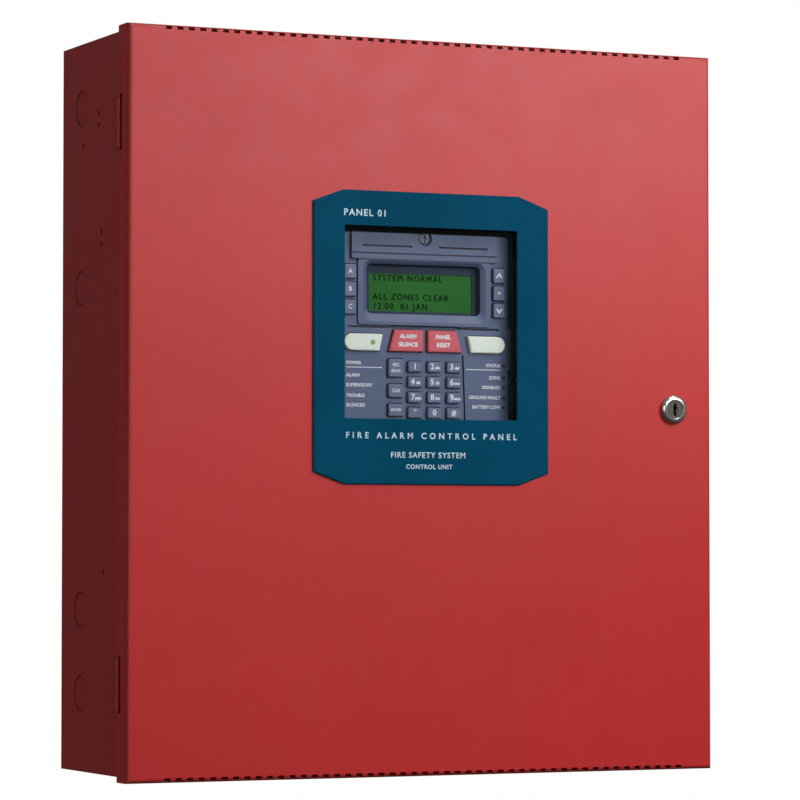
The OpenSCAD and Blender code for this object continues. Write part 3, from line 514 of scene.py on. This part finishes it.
def prism_mesh(points, y_front, thickness):
    """A flat outline in X and Z, given thickness towards +Y."""
    bm = bmesh.new()
    front, back = (
        [bm.verts.new((x, y, z)) for x, z in points] for y in (y_front, y_front + thickness)
    )
    bm.faces.new(front)
    bm.faces.new(reversed(back))
    for i in range(len(points)):
        bm.faces.new((front[i - 1], front[i], back[i], back[i - 1]))
    bmesh.ops.recalc_face_normals(bm, faces=bm.faces[:])
    mesh = bpy.data.meshes.new("prism")
    bm.to_mesh(mesh)
    bm.free()
    return mesh


def disc_mesh(at, radius, height, sides=20):
    """A low dome with its axis along -Y."""
    points = [(radius, 0.0), (radius * 0.98, height * 0.6), (radius * 0.75, height * 0.92), (0.0, height)]
    bm = bmesh.new()
    rings = []
    for r, h in points[:-1]:
        rings.append([
            bm.verts.new((at.x + r * math.cos(a), at.y - h, at.z + r * math.sin(a)))
            for a in (2 * math.pi * i / sides for i in range(sides))
        ])
    tip = bm.verts.new((at.x, at.y - height, at.z))
    for a, b in zip(rings, rings[1:]):
        for i in range(sides):
            bm.faces.new((a[i], a[(i + 1) % sides], b[(i + 1) % sides], b[i]))
    for i in range(sides):
        bm.faces.new((rings[-1][i], rings[-1][(i + 1) % sides], tip))
    bm.faces.new(reversed(rings[0]))
    bmesh.ops.recalc_face_normals(bm, faces=bm.faces[:])
    mesh = bpy.data.meshes.new("disc")
    bm.to_mesh(mesh)
    bm.free()
    return mesh


def on_pad(x, z, lift=0.0):
    """A point on the keypad, from millimetres off the window's centre."""
    return Vector((WINDOW.x + x * MM, PAD_FACE - lift, WINDOW.z + z * MM))


def ring_mesh(at, axis, inner, outer, thick, sides=64):
    """A flat ring round one of the object's axes."""
    across = [i for i in range(3) if i != axis]
    bm = bmesh.new()
    loops = []
    for radius, shift in ((inner, -thick / 2), (outer, -thick / 2), (outer, thick / 2), (inner, thick / 2)):
        loop = []
        for i in range(sides):
            turn = 2 * math.pi * i / sides
            point = Vector(at)
            point[axis] += shift
            point[across[0]] += radius * math.cos(turn)
            point[across[1]] += radius * math.sin(turn)
            loop.append(bm.verts.new(point))
        loops.append(loop)
    for a, b in zip(loops, loops[1:] + loops[:1]):
        for i in range(sides):
            bm.faces.new((a[i], a[(i + 1) % sides], b[(i + 1) % sides], b[i]))
    bmesh.ops.recalc_face_normals(bm, faces=bm.faces[:])
    mesh = bpy.data.meshes.new("ring")
    bm.to_mesh(mesh)
    bm.free()
    return mesh


def loose_parts(mesh):
    """The lowest and highest corners of each separate part of a mesh."""
    bm = bmesh.new()
    bm.from_mesh(mesh)
    bmesh.ops.remove_doubles(bm, verts=bm.verts, dist=0.002 * MM)
    left, corners = set(bm.verts), []
    while left:
        part, todo = [], [left.pop()]
        while todo:
            vert = todo.pop()
            part.append(vert.co.copy())
            for edge in vert.link_edges:
                other = edge.other_vert(vert)
                if other in left:
                    left.remove(other)
                    todo.append(other)
        corners.append(tuple(Vector(f(v[i] for v in part) for i in range(3)) for f in (min, max)))
    bm.free()
    return sorted(corners, key=lambda c: tuple(c[0]))


# Paint that bridges the sheared gap round each knockout
KNOCKOUT_GAP = 0.6 * MM
FILM_LAP = 0.25 * MM
FILM_THICK = 0.3 * MM
FILM_SET_BACK = 0.25 * MM
films = []
for low, high in loose_parts(NODES["knockout_slugs"].data):
    mid, size = (low + high) / 2, high - low
    axis = min(range(3), key=lambda i: size[i])
    slug = sorted(size)[1] / 2
    mid[axis] -= math.copysign(FILM_SET_BACK, mid[axis])
    films.append(ring_mesh(mid, axis, slug - FILM_LAP, slug + KNOCKOUT_GAP + FILM_LAP, FILM_THICK))
place(joined("knockout_paint_film", films), "cabinet", "red_paint", NODE_MATERIALS["backbox"])

# Bezel caption
caption = text_mesh(
    "FIRE ALARM CONTROL PANEL", 5.6 * MM,
    Vector((WINDOW.x, BEZEL_FACE - PRINT / 2, WINDOW.z - 75.0 * MM)), spacing=1.76, bold=0.13 * MM,
)
corner = text_mesh(
    "PANEL 01", 6.2 * MM,
    Vector((WINDOW.x - 64.2 * MM, BEZEL_FACE - PRINT / 2, WINDOW.z + 72.0 * MM)),
    align="LEFT", spacing=1.24, bold=0.12 * MM,
)
lower_lines = [
    text_mesh(
        words, size * MM, Vector((WINDOW.x + x * MM, BEZEL_FACE - PRINT / 2, WINDOW.z + z * MM)),
        spacing=1.15, bold=0.10 * MM,
    )
    for words, size, x, z in (("FIRE SAFETY SYSTEM", 5.3, -2.8, -87.7), ("CONTROL UNIT", 4.1, -2.1, -95.4))
]
place(joined("bezel_print", [caption, corner] + lower_lines), "door", "key_white", BEZEL_INK)

# Printed labels beside the lamps
LABEL_Z = (-26.5, -34.7, -41.2, -48.1, -54.5)
LEFT_LABELS = ("POWER", "ALARM", "SUPERVISORY", "TROUBLE", "SILENCED")
RIGHT_LABELS = ("STATUS", "ZONE", "DISABLED", "GROUND FAULT", "BATTERY LOW")
LABEL_LEFT, LABEL_RIGHT = -56.8, 56.6
LABEL_SIZE, LABEL_BOLD = 3.1 * MM, 0.08 * MM
RULE_ENDS = (31.0, 56.8)
RULE_LOW, RULE_HIGH = -29.6, -29.1
labels = []
for z, left, right in zip(LABEL_Z, LEFT_LABELS, RIGHT_LABELS):
    labels.append(text_mesh(left, LABEL_SIZE, on_pad(LABEL_LEFT, z, PRINT / 2), "LEFT", bold=LABEL_BOLD))
    labels.append(text_mesh(right, LABEL_SIZE, on_pad(LABEL_RIGHT, z, PRINT / 2), "RIGHT", bold=LABEL_BOLD))
for side in (-1, 1):
    low, high = sorted(side * end for end in RULE_ENDS)
    corners = ((low, RULE_LOW), (high, RULE_LOW), (high, RULE_HIGH), (low, RULE_HIGH))
    outline = [(WINDOW.x + x * MM, WINDOW.z + z * MM) for x, z in corners]
    labels.append(prism_mesh(outline, PAD_FACE - PRINT, PRINT))
place(joined("lamp_labels", labels), "cabinet", "key_white", WHITE_INK)


# Legends on the keys
def legend(key, lines, ink_material, bold=0.05 * MM):
    """lines: (text, size, x offset, z offset) in millimetres from the key's centre."""
    low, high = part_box(key)
    mid = (low + high) / 2
    face = low.y - PRINT / 2
    meshes = [
        text_mesh(text, size * MM, Vector((mid.x + x * MM, face, mid.z + z * MM)), bold=bold)
        for text, size, x, z in lines
    ]
    place(joined("legend_" + key, meshes), key + "_body", "key_white", ink_material)


DIGITS = {
    "key_digit_1": ("1", ""), "key_digit_2": ("2", "abc"), "key_digit_3": ("3", "def"),
    "key_digit_4": ("4", "ghi"), "key_digit_5": ("5", "jkl"), "key_digit_6": ("6", "mno"),
    "key_digit_7": ("7", "pqrs"), "key_digit_8": ("8", "tuv"), "key_digit_9": ("9", "wxyz"),
    "key_star": ("*", ""), "key_digit_0": ("0", ""), "key_hash": ("#", ""),
}
for key, (digit, letters) in DIGITS.items():
    lines = [(digit, 5.4, -1.6 if letters else 0.0, 0.1)]
    if letters:
        lines.append((letters, 2.5, 2.3, -0.5))
    legend(key, lines, WHITE_INK, 0.14 * MM)
legend("key_function_top", [("ESC", 3.0, 0, 2.0), ("BACK", 2.6, 0, -2.0)], WHITE_INK)
legend("key_function_middle", [("CLR", 3.2, 0, 0)], WHITE_INK)
legend("key_function_bottom", [("ENTER", 2.5, 0, 0)], WHITE_INK)
legend("key_red_left", [("ALARM", 3.8, 1.4, 2.8), ("SILENCE", 3.8, 1.4, -2.6)], WHITE_INK, 0.16 * MM)
legend("key_red_right", [("PANEL", 3.8, -1.4, 2.8), ("RESET", 3.8, -1.4, -2.6)], WHITE_INK, 0.16 * MM)
for key, letter in (("key_left_top", "A"), ("key_left_middle", "B"), ("key_left_bottom", "C")):
    legend(key, [(letter, 4.2, 0, 0)], WHITE_INK)


def arrow(key, turn):
    """An arrowhead on a key, pointing up where turn is 1 and down where it is -1."""
    low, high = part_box(key)
    mid = (low + high) / 2
    outline = ((-2.4, -1.4), (0.0, 2.2), (2.4, -1.4), (1.3, -1.4), (0.0, 0.6), (-1.3, -1.4))
    points = [(mid.x + x * MM, mid.z + turn * z * MM) for x, z in outline]
    mesh = prism_mesh(points, low.y - PRINT, PRINT)
    place(joined("legend_" + key, [mesh]), key + "_body", "key_white", WHITE_INK)


arrow("key_right_top", 1)
arrow("key_right_bottom", -1)
legend("key_right_middle", [("=", 4.2, 0, 0)], WHITE_INK)

# Green lamp on the left white key
WHITE_LOW, WHITE_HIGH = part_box("key_white_left")
LAMP_INSET = 8.2 * MM
lamp_at = Vector((WHITE_HIGH.x - LAMP_INSET, WHITE_LOW.y, (WHITE_LOW.z + WHITE_HIGH.z) / 2))
lamp = joined("white_key_lamp", [disc_mesh(lamp_at, 1.7 * MM, 0.35 * MM)])
place(lamp, "key_white_left_body", "led_lens", GREEN_LED)

# Lettering on the display
GLASS_LOW, GLASS_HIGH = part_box("lcd_glass")
DISPLAY_LINES = ("SYSTEM NORMAL", "", "ALL ZONES CLEAR", "12:00  01 JAN")
DISPLAY_MARGIN = 3.0 * MM
row = (GLASS_HIGH.z - GLASS_LOW.z) / len(DISPLAY_LINES)
lines = [
    # Three copies, each a little to the right, lower and nearer, thicken the strokes
    text_mesh(
        text, 5.9 * MM,
        Vector((
            GLASS_LOW.x + DISPLAY_MARGIN + 0.17 * MM * stroke,
            GLASS_LOW.y - PRINT / 2 - 0.01 * MM * (stroke + 1),
            GLASS_HIGH.z - row * (i + 0.5) - 0.08 * MM * stroke,
        )),
        "LEFT", spacing=1.3, squeeze=0.9,
    )
    for i, text in enumerate(DISPLAY_LINES) if text
    for stroke in (-1, 0, 1)
]
place(joined("display_lettering", lines), "cabinet", "display_frame", DISPLAY_INK)

# Small parts, pads and silkscreen on the main board, seen when the door is open
face = BOARD_LOW.y
PART_COLUMNS, PART_ROWS = 26, 6
PART_SIZES = ((2.0, 1.25), (1.25, 2.0), (3.2, 1.6))
PART_HEIGHT, PAD_HEIGHT = 0.7 * MM, 0.12 * MM
PAD_HALF_X, PAD_HALF_Z = 0.5 * MM, 0.6 * MM
parts, pads = [], []
# A grid in which rows and columns are shifted a little, so that the parts don't line up
for i in range(PART_COLUMNS):
    for j in range(PART_ROWS):
        x = BOARD_LOW.x + (14 + i * 9.0 + (j % 2) * 3.1) * MM
        z = BOARD_LOW.z + (32 + j * 34.0 + (i * 7 % 5) * 3.3) * MM
        wide, tall = PART_SIZES[(i + j) % 3]
        parts.append(box_mesh(
            (x - wide * MM / 2, face - PART_HEIGHT, z - tall * MM / 2),
            (x + wide * MM / 2, face, z + tall * MM / 2), 0.08 * MM,
        ))
        for s in (-1, 1):
            dx, dz = (s * (wide / 2 + 0.3) * MM, 0) if wide > tall else (0, s * (tall / 2 + 0.3) * MM)
            pads.append(box_mesh(
                (x + dx - PAD_HALF_X, face - PAD_HEIGHT, z + dz - PAD_HALF_Z),
                (x + dx + PAD_HALF_X, face, z + dz + PAD_HALF_Z),
            ))
place(joined("board_small_parts", parts), "cabinet", "black_plastic", MATERIALS["black_plastic"])
place(joined("board_pads", pads), "cabinet", "terminal_metal", MATERIALS["terminal_metal"])


def frame_lines(low, high, y, wide):
    """Four thin printed bars round a rectangle given by two corners in X and Z."""
    (x0, z0), (x1, z1) = low, high
    bars = (
        (x0, z0, x1, z0 + wide), (x0, z1 - wide, x1, z1),
        (x0, z0 + wide, x0 + wide, z1 - wide), (x1 - wide, z0 + wide, x1, z1 - wide),
    )
    return [prism_mesh([(a, b), (c, b), (c, d), (a, d)], y - PRINT, PRINT) for a, b, c, d in bars]


# Silkscreen: a border round the board and reference letters beside the terminal rows
inset = 2.5 * MM
prints = frame_lines(
    (BOARD_LOW.x + inset, BOARD_LOW.z + inset), (BOARD_HIGH.x - inset, BOARD_HIGH.z - inset), face, 0.35 * MM
)
REFERENCES = (  # letters, then millimetres from the board's left edge and from its top or lower edge
    ("TB1", 16, -26), ("TB2", 96, -26), ("TB3", 176, -26), ("TB4", 16, 26), ("TB5", 96, 26), ("J1", 30, 120),
)
for name, x, z in REFERENCES:
    edge = BOARD_HIGH.z if z < 0 else BOARD_LOW.z
    at = Vector((BOARD_LOW.x + x * MM, face - PRINT / 2, edge + z * MM))
    prints.append(text_mesh(name, 4.0 * MM, at, "LEFT"))
place(joined("board_silkscreen", prints), "cabinet", "key_white", WHITE_INK)

# Plain labels on the fronts of the batteries
CASE_LOW, CASE_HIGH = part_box("batteries")
BATTERY_GAP = 6.0 * MM
PLATE_HALF_W, PLATE_HALF_H, PLATE_THICK = 52 * MM, 24 * MM, 0.15 * MM
PLATE_UP = 88.0 * MM
case_w = (CASE_HIGH.x - CASE_LOW.x - BATTERY_GAP) / 2
plates, marks = [], []
for x0 in (CASE_LOW.x, CASE_HIGH.x - case_w):
    mid = x0 + case_w / 2
    z = CASE_LOW.z + PLATE_UP
    plates.append(box_mesh(
        (mid - PLATE_HALF_W, CASE_LOW.y - PLATE_THICK, z - PLATE_HALF_H),
        (mid + PLATE_HALF_W, CASE_LOW.y, z + PLATE_HALF_H), 0.05 * MM,
    ))
    y = CASE_LOW.y - PLATE_THICK - PRINT / 2
    marks.append(text_mesh("12 V   18 Ah", 11.0 * MM, Vector((mid, y, z + 7 * MM)), spacing=1.1))
    marks.append(text_mesh("RECHARGEABLE BATTERY", 5.4 * MM, Vector((mid, y, z - 10 * MM)), spacing=1.1))
place(joined("battery_labels", plates), "cabinet", "key_white", LABEL_GREY)
place(joined("battery_label_print", marks), "cabinet", "black_plastic", BLACK_INK)

# ---------------------------------------------------------------------------------------
# Camera, lights and floor. The cabinet hangs on a wall, so the floor lies well below it.

CAMERA_AT = Vector((-1.070, -2.4201, -0.0956))
CAMERA_YAW, CAMERA_PITCH = 24.62, 2.27
CAMERA_LENS = 171.2
FLOOR_DROP = 1.6
FLOOR_RADIUS = 12.0


def camera():
    data = bpy.data.cameras.new("camera")
    data.lens = CAMERA_LENS
    data.sensor_width = 36.0
    data.clip_end = 100.0
    obj = bpy.data.objects.new("camera", data)
    bpy.context.scene.collection.objects.link(obj)
    obj.location = CAMERA_AT
    obj.rotation_euler = (math.radians(90 + CAMERA_PITCH), 0, math.radians(-CAMERA_YAW))
    bpy.context.scene.camera = obj


def area_light(name, at, target, size, energy, colour=(1, 1, 1)):
    data = bpy.data.lights.new(name, "AREA")
    data.shape = "RECTANGLE"
    data.size, data.size_y = size
    data.energy = energy
    data.color = colour
    obj = bpy.data.objects.new(name, data)
    bpy.context.scene.collection.objects.link(obj)
    obj.location = at
    obj.rotation_euler = (Vector(target) - Vector(at)).to_track_quat("-Z", "Y").to_euler()
    obj.visible_camera = False


def world():
    """White to the camera; to the object a dim room that is brighter to the front right and above."""
    made = bpy.data.worlds.new("studio")
    bpy.context.scene.world = made
    made.use_nodes = True
    tree = made.node_tree
    tree.nodes.clear()
    coords = tree.nodes.new("ShaderNodeTexCoord")
    dot = tree.nodes.new("ShaderNodeVectorMath")
    dot.operation = "DOT_PRODUCT"
    dot.inputs[1].default_value = Vector((0.25, -0.15, 0.95)).normalized()
    tree.links.new(coords.outputs["Generated"], dot.inputs[0])
    span = tree.nodes.new("ShaderNodeMapRange")
    for key, value in (("From Min", -0.6), ("From Max", 1.0), ("To Min", 0.045), ("To Max", 0.335)):
        span.inputs[key].default_value = value
    tree.links.new(dot.outputs["Value"], span.inputs["Value"])
    room = tree.nodes.new("ShaderNodeBackground")
    room.inputs["Color"].default_value = (1.0, 0.98, 0.97, 1)
    tree.links.new(span.outputs["Result"], room.inputs["Strength"])
    seen = tree.nodes.new("ShaderNodeBackground")
    seen.inputs["Color"].default_value = (1.0, 0.998, 0.985, 1)
    path = tree.nodes.new("ShaderNodeLightPath")
    mix = tree.nodes.new("ShaderNodeMixShader")
    out = tree.nodes.new("ShaderNodeOutputWorld")
    tree.links.new(path.outputs["Is Camera Ray"], mix.inputs["Fac"])
    tree.links.new(room.outputs[0], mix.inputs[1])
    tree.links.new(seen.outputs[0], mix.inputs[2])
    tree.links.new(mix.outputs[0], out.inputs["Surface"])


def floor():
    """A pale disc of floor, far enough below the wall-hung cabinet to bounce no light onto it."""
    bm = bmesh.new()
    bmesh.ops.create_circle(bm, cap_ends=True, radius=FLOOR_RADIUS, segments=128)
    mesh = bpy.data.meshes.new("floor")
    bm.to_mesh(mesh)
    bm.free()
    obj = bpy.data.objects.new("floor", mesh)
    bpy.context.scene.collection.objects.link(obj)
    obj.location = (0, 0, -FLOOR_DROP)
    obj.visible_diffuse = False
    obj.visible_glossy = False
    s = Shader("floor_pale", Roughness=0.9)
    s.colour(s.ramp(s.noise(3.0), [(0.3, (0.86, 0.86, 0.85)), (0.7, (0.90, 0.90, 0.89))]))
    s.bsdf.inputs["Emission Color"].default_value = (1.0, 1.0, 0.99, 1.0)
    s.bsdf.inputs["Emission Strength"].default_value = 0.55
    obj.data.materials.append(s.material)


camera()
world()
floor()
area_light("key", (1.15, -2.0, 2.3), (0.0, -0.13, 0.0), (0.8, 0.8), 38.5, (1.0, 0.985, 0.97))
area_light("sheen", (0.66, -1.2, 0.46), (0.18, -0.13, 0.22), (1.0, 0.2), 9.0, (1.0, 0.99, 0.98))
area_light("front_fill", (-1.25, -3.1, 0.4), (0.0, -0.13, 0.0), (0.5, 0.9), 14.5)
area_light("back_fill", (1.9, 2.8, 1.0), (0.0, 0.0, 0.0), (1.6, 1.6), 42.0)

scene = bpy.context.scene
scene.view_settings.view_transform = "Standard"
scene.view_settings.look = "None"

bpy.context.view_layer.update()
